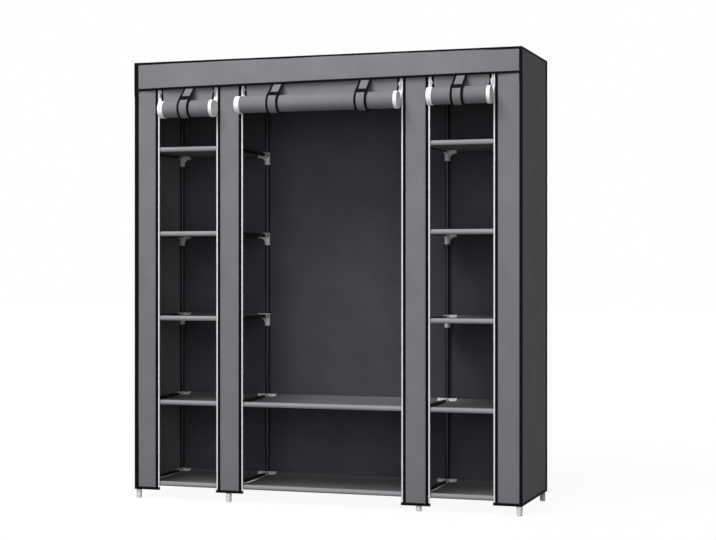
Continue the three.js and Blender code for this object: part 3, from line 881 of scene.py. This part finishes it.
def foot(place):
    """The plug under the lowest socket: three shallow ribs round a slightly tapered peg."""
    profile = [(0, 0), (0, foot_radius - 1 * mm), (0.8 * mm, foot_radius)]
    rib_radius = foot_radius + 0.6 * mm
    for rise in (4 * mm, 9 * mm, 14 * mm):
        profile += [(rise, foot_radius), (rise + 0.5 * mm, rib_radius),
                    (rise + 2.3 * mm, rib_radius), (rise + 2.8 * mm, foot_radius)]
    return turned(profile + [(arm_length, foot_radius), (arm_length, 0)], place, Z)


# %% Level recipe
def make_levels(geometry, given):
    line = geometry.node("GeometryNodeMeshLine", inputs={
        "Count": given["Count"], "Offset": geometry.xyz(0, 0, given["Pitch"])})
    number = geometry.node("GeometryNodeInputIndex")
    shorter = number.maths("MINIMUM", 1) * (given["First Gap"] - given["Pitch"])
    points = geometry.node("GeometryNodeSetPosition", inputs={
        "Geometry": line, "Offset": geometry.xyz(0, 0, shorter)})
    return geometry.node("GeometryNodeInstanceOnPoints", inputs={
        "Points": points, "Instance": geometry})


level_recipe = recipe("levels", {"Count": "Int", "First Gap": "Float", "Pitch": "Float"},
                      make_levels)


def repeated_up(name, surfaces):
    """The same sockets at every level."""
    mesh = build_mesh(name, surfaces)
    tidy_mesh(mesh)
    return grow(name, level_recipe, {"Count": level_count, "First Gap": first_gap,
                                     "Pitch": level_pitch, "Finish": socket_plastic}, mesh)


# %% Ladders
def joined(name, parts):
    """Several objects as one."""
    work = bmesh.new()
    for part in parts:
        work.from_mesh(part.data)
    mesh = bpy.data.meshes.new(name)
    work.to_mesh(mesh)
    work.free()
    mesh.materials.append(parts[0].data.materials[0])
    for part in parts:
        bpy.data.objects.remove(part)
    return linked(name, mesh)


def ladder(name, x, bay, middle=None):
    tubes, plain, extra = [], [], []
    for y, inward in ((front_y, Y), (back_y, -Y)):
        for i in range(level_count - 1):
            tubes.append(tube((x, y, levels[i] + collar - seat),
                              (x, y, levels[i + 1] - arm_length + seat), tube_radius))
        at = np.array((x, y, levels[0]))
        plain += [barrel(at), arm(at, inward), arm(at, bay), gusset(at, bay)]
        extra.append(foot((x, y, 0)))
        if middle is not None:
            for level in (levels[0], levels[1], levels[-1]):
                at = np.array((x, y, level))
                extra += [arm(at, middle), gusset(at, middle)]
    for level in levels:
        tubes.append(tube((x, front_y + arm_length - seat, level),
                          (x, back_y - arm_length + seat, level), tube_radius))
    if middle is not None:
        at = np.array((x, rod_y, levels[-1]))
        extra += [arm(at, middle), tube(at - 20 * mm * Y, at + 20 * mm * Y, socket_radius)]
    steel = piece(f"{name}_tubes", tubes, powder_coat)
    spare = piece(f"{name}_spare", extra, socket_plastic, body=None)
    sockets = joined(f"{name}_sockets", [repeated_up(f"{name}_levels", plain), spare])
    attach(sockets, "root")
    for made in (steel, sockets):
        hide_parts(name)


ladder("frame_left_outer", -outer_x, X)
ladder("frame_left_inner", -inner_x, -X, X)
ladder("frame_right_inner", inner_x, X, -X)
ladder("frame_right_outer", outer_x, -X)

# %% [markdown]
# The top rails and the hanging rod are bare tubes that seat in the sockets' bores.

# %% Rails and rod
for name in ("rail_top_left_front", "rail_top_left_back", "rail_top_center_front",
             "rail_top_center_back", "rail_top_right_front", "rail_top_right_back", "hanging_rod"):
    ends = [(x, low(name)[1] + tube_radius, levels[-1]) for x in (low(name)[0], high(name)[0])]
    rail = piece(f"{name}_tube", [tube(*ends, tube_radius, tube_wall)], powder_coat)
    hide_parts(name)

# %% [markdown]
# ## Shelves
#
# A shelf is one cloth with a sleeve sewn at each end, pulled over two rails. From the side it
# is a line: out of the front seam, round the front rail, over the top and back to the seam,
# across the bay, and the same round the rear rail. Between its rails the cloth sags a few
# millimetres, more in the wide bay. The corners are cut away to clear the sockets, so the
# width changes from row to row.

# %% Shelf cloth
sleeve_radius = 8.8 * mm
sleeve_turn = (-112, -285)     # degrees, where the cloth meets the rail and leaves it
seam_inset = 16 * mm
seam_rise = 0.9 * mm           # the upper cloth at the seam, over the level
rail_play = 0.3 * mm


def shelf_line(sag):
    """The shelf seen from the side: distances in Y and heights over its level."""
    turn = np.radians(np.linspace(*sleeve_turn, 16))
    loop_y, loop_z = sleeve_radius * np.cos(turn), sleeve_radius * np.sin(turn)
    y = np.concatenate([[seam_inset], loop_y, [seam_inset]])
    z = np.concatenate([[-0.6 * mm], loop_z, [seam_rise]])
    span = back_y - front_y
    inner = np.linspace(seam_inset, span - seam_inset, 34)[1:-1]
    share = (inner - seam_inset) / (span - 2 * seam_inset)
    dip = seam_rise - sag * 4 * share * (1 - share)
    return (front_y + np.concatenate([y, inner, span - y[::-1]]),
            np.concatenate([z, dip, z[::-1]]))


def shelf_cloth_grid(x0, x1, level, sag, seed):
    line_y, line_z = shelf_line(sag)
    wide = (line_y > front_y + seam_inset) & (line_y < back_y - seam_inset)
    inset = np.where(wide, socket_radius + 1 * mm, arm_length + 0.6 * mm)
    steps = 30 if x1 - x0 < 0.5 else 56
    s = np.linspace(0, 1, steps + 1)
    x = (x0 + inset)[:, None] + (x1 - x0 - 2 * inset)[:, None] * s[None, :]
    draw = np.random.default_rng(seed)
    span = np.clip((line_y - front_y - seam_inset) / (back_y - front_y - 2 * seam_inset), 0, 1)
    slack = np.sin(math.pi * span)[:, None]
    ripple = sum(np.sin(draw.uniform(18, 60) * x + draw.uniform(-9, 9) * line_y[:, None]
                        + draw.uniform(0, 7)) for _ in range(5)) / 5
    side_lift = 1 - 0.25 * (2 * s[None, :] - 1) ** 6
    shape = line_z[:, None] * np.where(wide[:, None], side_lift, 1)
    return grid(line_of(x, line_y[:, None], level + shape + 1.1 * mm * slack * ripple))


bays = {"left": (-outer_x, -inner_x, range(5), 6 * mm),
        "center": (-inner_x, inner_x, range(2), 9 * mm),
        "right": (inner_x, outer_x, range(5), 6 * mm)}
for bay, (x0, x1, floors, sag) in bays.items():
    for i in floors:
        node = f"shelf_{bay}_{i}"
        level = levels[i]
        sheet = piece(f"{node}_cloth", [shelf_cloth_grid(x0, x1, level, sag, i + 7 * len(bay))],
                      shelf_cloth, thickness=cloth)
        rails = piece(f"{node}_rails", [
            tube((x0 + seat_depth + rail_play, y, level), (x1 - seat_depth - rail_play, y, level),
                 tube_radius, tube_wall) for y in (front_y, back_y)], powder_coat)
        sleeve_ends = (x0 + arm_length + 2 * mm, x1 - arm_length - 2 * mm)
        rows = [line_of(np.linspace(*sleeve_ends, 12), y, level + 1.6 * mm)
                for y in (front_y + seam_inset, back_y - seam_inset)]
        sewn = stitches(f"{node}_stitches", rows, grey_thread)
        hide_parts(node)
        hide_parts(node)
        around = 2 * (2 * math.pi * sleeve_radius * 0.5 + 2 * seam_inset)
        x1 - x0 - 2 * socket_radius
print("twelve shelves")

# %% [markdown]
# ## Rolled doors
#
# Each door is one long cloth wound about twelve times. Its shape follows a rule, so Geometry
# Nodes makes it: a flat grid is wound by moving every point to its place on a spiral. It
# leaves the roll at the back, as in the photograph, and winds in under it and up its front. A
# little noise in the radius keeps the turns from looking machined. White zip tape is sewn to
# the door's edges, and winds up thicker than the cloth, as a white disc at each end.

# %% Winding recipe
def make_roll(nothing, given):
    flat = nothing.node("GeometryNodeMeshGrid", inputs={
        "Size X": given["Width"], "Size Y": 1, "Vertices X": given["Columns"],
        "Vertices Y": given["Rows"]})
    place = nothing.node("GeometryNodeInputPosition")
    across, along = (nothing.node("ShaderNodeSeparateXYZ", inputs={0: place}, output=i)
                     for i in (0, 1))
    share = along + 0.5
    angle = share * given["Turns"] * (-2 * math.pi)
    bare = given["Outer Radius"] + (given["Core Radius"] - given["Outer Radius"]) * share
    uneven = noise(nothing, nothing.xyz(across * 9, share * given["Turns"], 3.7), 1.4, 1)
    rim = (across / given["Width"]).maths("ABSOLUTE")
    groove = 1 - (rim / given["Groove"]).between(0, 1)
    radius = bare + (uneven - 0.5) * given["Slack"] - groove * given["Groove Depth"] * (1 - share)
    ragged = noise(nothing, nothing.xyz(angle * 0.35), 1.1, 2)
    shift = (ragged - 0.5) * given["Ragged"]
    wound = nothing.xyz(across + shift, radius * angle.maths("COSINE"),
                        radius * angle.maths("SINE"))
    moved = nothing.node("ShaderNodeVectorMath", {"operation": "ADD"},
                         {0: wound, 1: given["Middle"]})
    laid = nothing.node("GeometryNodeSetPosition", inputs={"Geometry": flat, "Position": moved})
    return nothing.node(
        "GeometryNodeStoreNamedAttribute", {"data_type": "FLOAT2", "domain": "CORNER"},
        {"Geometry": laid, "Name": "UVMap", "Value": nothing.xyz(across, share * given["Length"])})


roll_sizes = ("Width", "Length", "Turns", "Outer Radius", "Core Radius", "Slack", "Ragged",
              "Groove", "Groove Depth")
roll_recipe = recipe("wound_cloth", {"Middle": "Vector", **dict.fromkeys(roll_sizes, "Float"),
                                     "Columns": "Int", "Rows": "Int"}, make_roll)

# %% Wound cloth
around = 30          # steps in one turn


def wound(name, x0, x1, z, outer, core, turns, material, wall, slack=0.9 * mm, ragged=0.0,
          groove_depth=0.0):
    length = turns * math.pi * (outer + core)
    made = grow(name, roll_recipe, {
        "Middle": ((x0 + x1) / 2, roll_y, z), "Width": x1 - x0, "Length": length,
        "Turns": float(turns),
        "Outer Radius": outer, "Core Radius": core, "Slack": slack, "Ragged": ragged,
        "Groove": 0.09, "Groove Depth": groove_depth, "Columns": max(9, int((x1 - x0) / (12 * mm))),
        "Rows": turns * around + 1, "Finish": material})
    work = bmesh.new()
    work.from_mesh(made.data)
    for face in work.faces:
        face.smooth = True
    for edge in work.edges:
        edge.smooth = not edge.is_boundary
    work.to_mesh(made.data)
    work.free()
    thick = made.modifiers.new("thickness", "SOLIDIFY")
    thick.thickness, thick.offset = wall, 0
    x1 - x0
    return made


roll_radius = 32 * mm
roll_end_radius = 35 * mm
roll_tape = 19 * mm
roll_tape_b = 13 * mm      # the right ends are wound tighter
tape_lap = 1.5 * mm
roll_y = front - 6 * mm - roll_end_radius
door_span = {side: (low(f"door_{side}_roll")[0], high(f"door_{side}_roll")[0])
             for side in ("left", "center", "right")}
roll_height = {side: cover_top - drop * mm
               for side, drop in (("left", 184), ("center", 175.5), ("right", 168))}
print({side: round(z, 3) for side, z in roll_height.items()})

# %% [markdown]
# Each roll and its tape discs ride on their door's body.

# %% Rolls
def follow_door(made, side):
    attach(made, f"door_{side}")
    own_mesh(made)
    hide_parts(f"door_{side}_roll")


for side, (x0, x1) in door_span.items():
    z = roll_height[side]
    body = wound(f"door_{side}_rolled_cloth", x0 + roll_tape - tape_lap,
                 x1 - roll_tape_b + tape_lap, z, roll_radius - 0.4 * mm, 5.5 * mm, 12,
                 cover_cloth, 0.75 * mm)
    follow_door(body, side)
    for end, (a, b) in {"a": (x0, x0 + roll_tape), "b": (x1 - roll_tape_b, x1)}.items():
        # The end discs take the lighter copy of the zip tape, as painted light.
        disc = wound(f"door_{side}_rolled_tape_{end}", a, b, z, roll_end_radius - 2.4 * mm,
                     6.6 * mm, 5, wound_tape_painted_light, 4.5 * mm, slack=0.5 * mm, ragged=1.6 * mm,
                     groove_depth=1.2 * mm)
        follow_door(disc, side)

# %% [markdown]
# Between the roll and the top seam a stretch of the door hangs behind the valance, and then
# leans forward to the roll's back. Its side edges are bound in black, and outside them the
# white door half of each zip runs down from the valance to the slider and on into the roll.
# This cloth is kept where it hangs, on no body.

# %% The hanging line of a door
def bezier(points, count):
    t = np.linspace(0, 1, count)[:, None]
    a, b, c, d = (np.array(point) for point in points)
    return (1 - t) ** 3 * a + 3 * t * (1 - t) ** 2 * b + 3 * t * t * (1 - t) * c + t ** 3 * d


def hang_line(y, foot, bend_z):
    """Straight down behind the valance, then in a gentle curve to its foot. Y and Z."""
    middle = (bend_z + foot[1]) / 2
    upper = np.linspace((y, panel_top), (y, bend_z), 8)[:-1]
    return np.concatenate([upper, bezier([(y, bend_z), (y, middle), (foot[0], middle), foot], 14)])


def side_normals(line):
    """Unit normals of a line in Y and Z, towards the front on a line that runs down."""
    way = np.gradient(line, axis=0)
    way /= np.linalg.norm(way, axis=1)[:, None]
    return np.stack([way[:, 1], -way[:, 0]], 1)


def strip(line, x_low, x_high, columns, lift=0):
    """A band of cloth along a line in Y and Z, between two edges in X that may vary."""
    line = line + side_normals(line) * lift
    x_low, x_high = (np.broadcast_to(x, len(line)) for x in (x_low, x_high))
    s = np.linspace(0, 1, columns + 1)[None, :]
    x = x_low[:, None] + (x_high - x_low)[:, None] * s
    return line_of(x, line[:, :1], line[:, 1:])


def strip_binding(line, x_edge, inward, width):
    """A tape folded over one long edge of such a band."""
    columns = [line_of(x_edge + inward * offset, *(line + side_normals(line) * rise).T)
               for offset, rise in tape_fold(width)]
    return grid(np.stack(columns, 1))


def walked(line):
    """The distance walked along a line, at each of its points."""
    return np.concatenate([[0], np.cumsum(np.linalg.norm(np.diff(line, axis=0), axis=1))])


# %% Door flaps
openings = {"left": (high("cover_pillar_left_outer")[0], low("cover_pillar_left_inner")[0]),
            "center": (high("cover_pillar_left_inner")[0], low("cover_pillar_right_inner")[0]),
            "right": (high("cover_pillar_right_inner")[0], low("cover_pillar_right_outer")[0])}
slider_low = low("zip_left_a_slider")[2]
edge_inset = 12.6 * mm
flap_y = front + cad_cloth / 2
edge_width = 8.5 * mm


def flap_edges(side, z):
    """The two edges of the door's cloth, beside the zips and then between the wound tapes."""
    edges = []
    for edge, roll_end, wound_tape_width, inward in zip(
            openings[side], door_span[side], (roll_tape, roll_tape_b), (1, -1)):
        beside_roll = max(inward * (roll_end - edge) + wound_tape_width + tape_lap, edge_inset)
        waist = roll_height[side] + np.array((13, 35)) * mm
        inset = np.interp(z, (*waist, slider_low), (beside_roll, edge_inset + 3 * mm, edge_inset))
        edges.append(edge + inward * inset)
    return edges


def blend_down(made):
    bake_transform(made)


for side, (x0, x1) in openings.items():
    line = hang_line(flap_y, (roll_y + roll_radius + 0.3 * mm, roll_height[side]), slider_low)
    left_edge, right_edge = flap_edges(side, line[:, 1])
    places = strip(line, left_edge, right_edge, 40 if side == "center" else 20)
    draw = np.random.default_rng(len(side))
    wave = sum(np.sin(draw.uniform(20, 70) * places[..., 0] + draw.uniform(0, 7))
               for _ in range(4)) / 4
    fallen = np.clip((panel_top - line[:, 1]) / (panel_top - roll_height[side]), 0, 1)
    places[..., 1] += 0.7 * mm * wave * np.sin(math.pi * fallen)[:, None]
    flap = piece(f"door_{side}_flap_cloth", [grid(places)], cover_cloth, body=None, thickness=cloth)
    trim = piece(f"door_{side}_flap_binding", [
        strip_binding(line, left_edge, 1, edge_width),
        strip_binding(line, right_edge, -1, edge_width)],
        black_tape, body=None, thickness=tape, sharp=60)
    for made in (flap, trim):
        blend_down(made)
    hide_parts(f"door_{side}_flap")
    x1 - x0 - 2 * edge_inset

# %% [markdown]
# Each strap hangs from the top seam in front of the door, leans forward over the roll, goes
# round it and up again behind the door. Its two edges are bound in black, and a black bar of
# hook tape crosses it above the roll.

# %% Straps
strap_edge = 8 * mm
strap_front = front - 1.4 * mm
strap_radius = roll_radius + 2.9 * mm
bar_length = 21 * mm
bar_spare = 0.8 * mm
bar_cloth = 0.9 * mm
bar_rise = {"left": 20 * mm, "center": 12 * mm, "right": 4 * mm}    # up the strap from the roll


def strap_line(side, hem_z):
    """The strap's line in Y and Z, and the place along it where it meets the roll."""
    seam = (front - 0.9 * mm, panel_top)
    under_hem = (strap_front - valance_slope * (panel_top - hem_z), hem_z - 2 * mm)
    bend = np.array(under_hem) - (roll_y, roll_height[side])
    start = math.atan2(bend[1], bend[0]) + math.acos(strap_radius / np.hypot(*bend))
    angle = np.linspace(start, 2 * math.pi - 0.15, 44)
    arc = line_of(roll_y + strap_radius * np.cos(angle),
                  roll_height[side] + strap_radius * np.sin(angle))
    drop = np.linspace(seam, under_hem, 6)
    lean = np.linspace(drop[-1], arc[0], 8)[1:-1]
    return np.concatenate([drop, lean, arc]), len(drop) + len(lean)


for node in ("strap_left", "strap_center_1", "strap_center_2", "strap_right"):
    side = node.split("_")[1]
    x0, x1 = low(node)[0], high(node)[0]
    line, meets = strap_line(side, valance_hem(x0))
    band = piece(f"{node}_cloth", [grid(strip(line, x0 + 1 * mm, x1 - 1 * mm, 6))], cover_cloth,
                 thickness=cloth)
    trim = piece(f"{node}_binding", [strip_binding(line, x0, 1, strap_edge),
                                     strip_binding(line, x1, -1, strap_edge)],
                 black_tape, thickness=tape, sharp=60)
    way = walked(line)
    stops = way[meets] - bar_rise[side] + np.linspace(-0.5, 0.5, 9) * bar_length
    bar_line = line_of(*(np.interp(stops, way, places) for places in line.T))
    bar = piece(f"{node}_bar", [grid(strip(bar_line, x0 - bar_spare, x1 + bar_spare, 6,
                                           cloth / 2 + tape + 0.5 * mm))],
                hook_tape, thickness=bar_cloth)
    for made, proud in ((band, 0), (trim, tape), (bar, bar_cloth)):
        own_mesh(made)
    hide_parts(node)

# %% [markdown]
# ## Zips
#
# A coil zip is a nylon wire wound in tight loops along the edge of a woven tape. The tape is a
# narrow strip, and the loops are set along it by a recipe, each a small ring of few faces. The
# pillar's half runs from hem to top. The door's half is meshed with it above the slider, and
# leans away to the roll below it.

# %% Coil recipe
def make_coil(line, given):
    run = line.node("GeometryNodeMeshToCurve", inputs={"Mesh": line})
    points = line.node("GeometryNodeResampleCurve", {"mode": "LENGTH"}, {
        "Curve": run, "Length": given["Pitch"]})
    ring, section = (
        line.node("GeometryNodeCurvePrimitiveCircle", inputs={"Resolution": sides, "Radius": size})
        for sides, size in ((8, given["Radius"]), (4, given["Wire"])))
    loop = line.node("GeometryNodeCurveToMesh", inputs={"Curve": ring, "Profile Curve": section})
    turned_up = line.node("FunctionNodeAlignRotationToVector", {"axis": "Z"}, {
        "Vector": line.node("GeometryNodeInputTangent")})
    return line.node("GeometryNodeInstanceOnPoints", inputs={
        "Points": points, "Instance": loop, "Rotation": turned_up})


coil_recipe = recipe("zip_coil", {"Pitch": "Float", "Radius": "Float", "Wire": "Float"}, make_coil)


def coil(name, places):
    line = bpy.data.meshes.new(name)
    line.from_pydata(places.tolist(), [(i, i + 1) for i in range(len(places) - 1)], [])
    made = grow(name, coil_recipe, {"Pitch": 2.3 * mm, "Radius": 1.0 * mm, "Wire": 0.42 * mm,
                                    "Finish": nylon}, line)
    for polygon in made.data.polygons:
        polygon.use_smooth = True
    return made


# %% Zip tapes
tape_reach = 5.6 * mm
tape_tuck = 5 * mm
tape_cloth = 0.7 * mm
pillar_beside = {"left_a": "left_outer", "left_b": "left_inner", "center_a": "left_inner",
                 "center_b": "right_inner", "right_a": "right_inner", "right_b": "right_outer"}
for side, (x0, x1) in openings.items():
    door_line = hang_line(
        flap_y, (roll_y + roll_end_radius - 3 * mm, roll_height[side] + 4 * mm), slider_low)
    flap_sides = flap_edges(side, door_line[:, 1])
    for end, edge, inward, flap_side in (("a", x0, 1, flap_sides[0]), ("b", x1, -1, flap_sides[1])):
        node = f"zip_{side}_{end}_tape"
        pillar = pillar_beside[side + "_" + end]
        foot_z = pillar_hem[pillar]
        line = line_of(flap_y, np.linspace(panel_top, foot_z + 1 * mm, 30))
        xs = sorted((edge - inward * tape_tuck, edge + inward * tape_reach))
        woven_tape = piece(f"{node}_woven", [grid(strip(line, *xs, 3))], white_tape,
                           thickness=tape_cloth)
        teeth = coil(f"{node}_coil", line_of(edge + inward * tape_reach, *line.T))
        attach(teeth, "root")
        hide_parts(node)
        panel_top - foot_z
        outside = edge + inward * np.interp(
            door_line[:, 1], (roll_height[side] + 30 * mm, slider_low),
            (2 * mm, tape_reach + 1.6 * mm))
        inside = flap_side + inward * 2 * mm
        half = piece(f"door_{side}_tape_{end}", [grid(strip(door_line, outside, inside, 3))],
                     white_tape, body=None, thickness=tape_cloth)
        blend_down(half)

# %% [markdown]
# The sliders and pulls keep their solids, which are already true to size. Weld joins their
# loose triangles, and a small Bevel rounds the cast edges so that they catch the light.

# %% Sliders and pulls
for name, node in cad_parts.items():
    if name.startswith("zip_") and name.endswith(("_slider", "_pull")):
        weld = node.modifiers.new("weld", "WELD")
        weld.merge_threshold = 0.01 * mm
        rounded = node.modifiers.new("rounded", "BEVEL")
        rounded.width, rounded.segments, rounded.limit_method = 0.22 * mm, 2, "ANGLE"
        rounded.angle_limit = math.radians(50)
        for slot in node.material_slots:
            slot.material = zip_metal
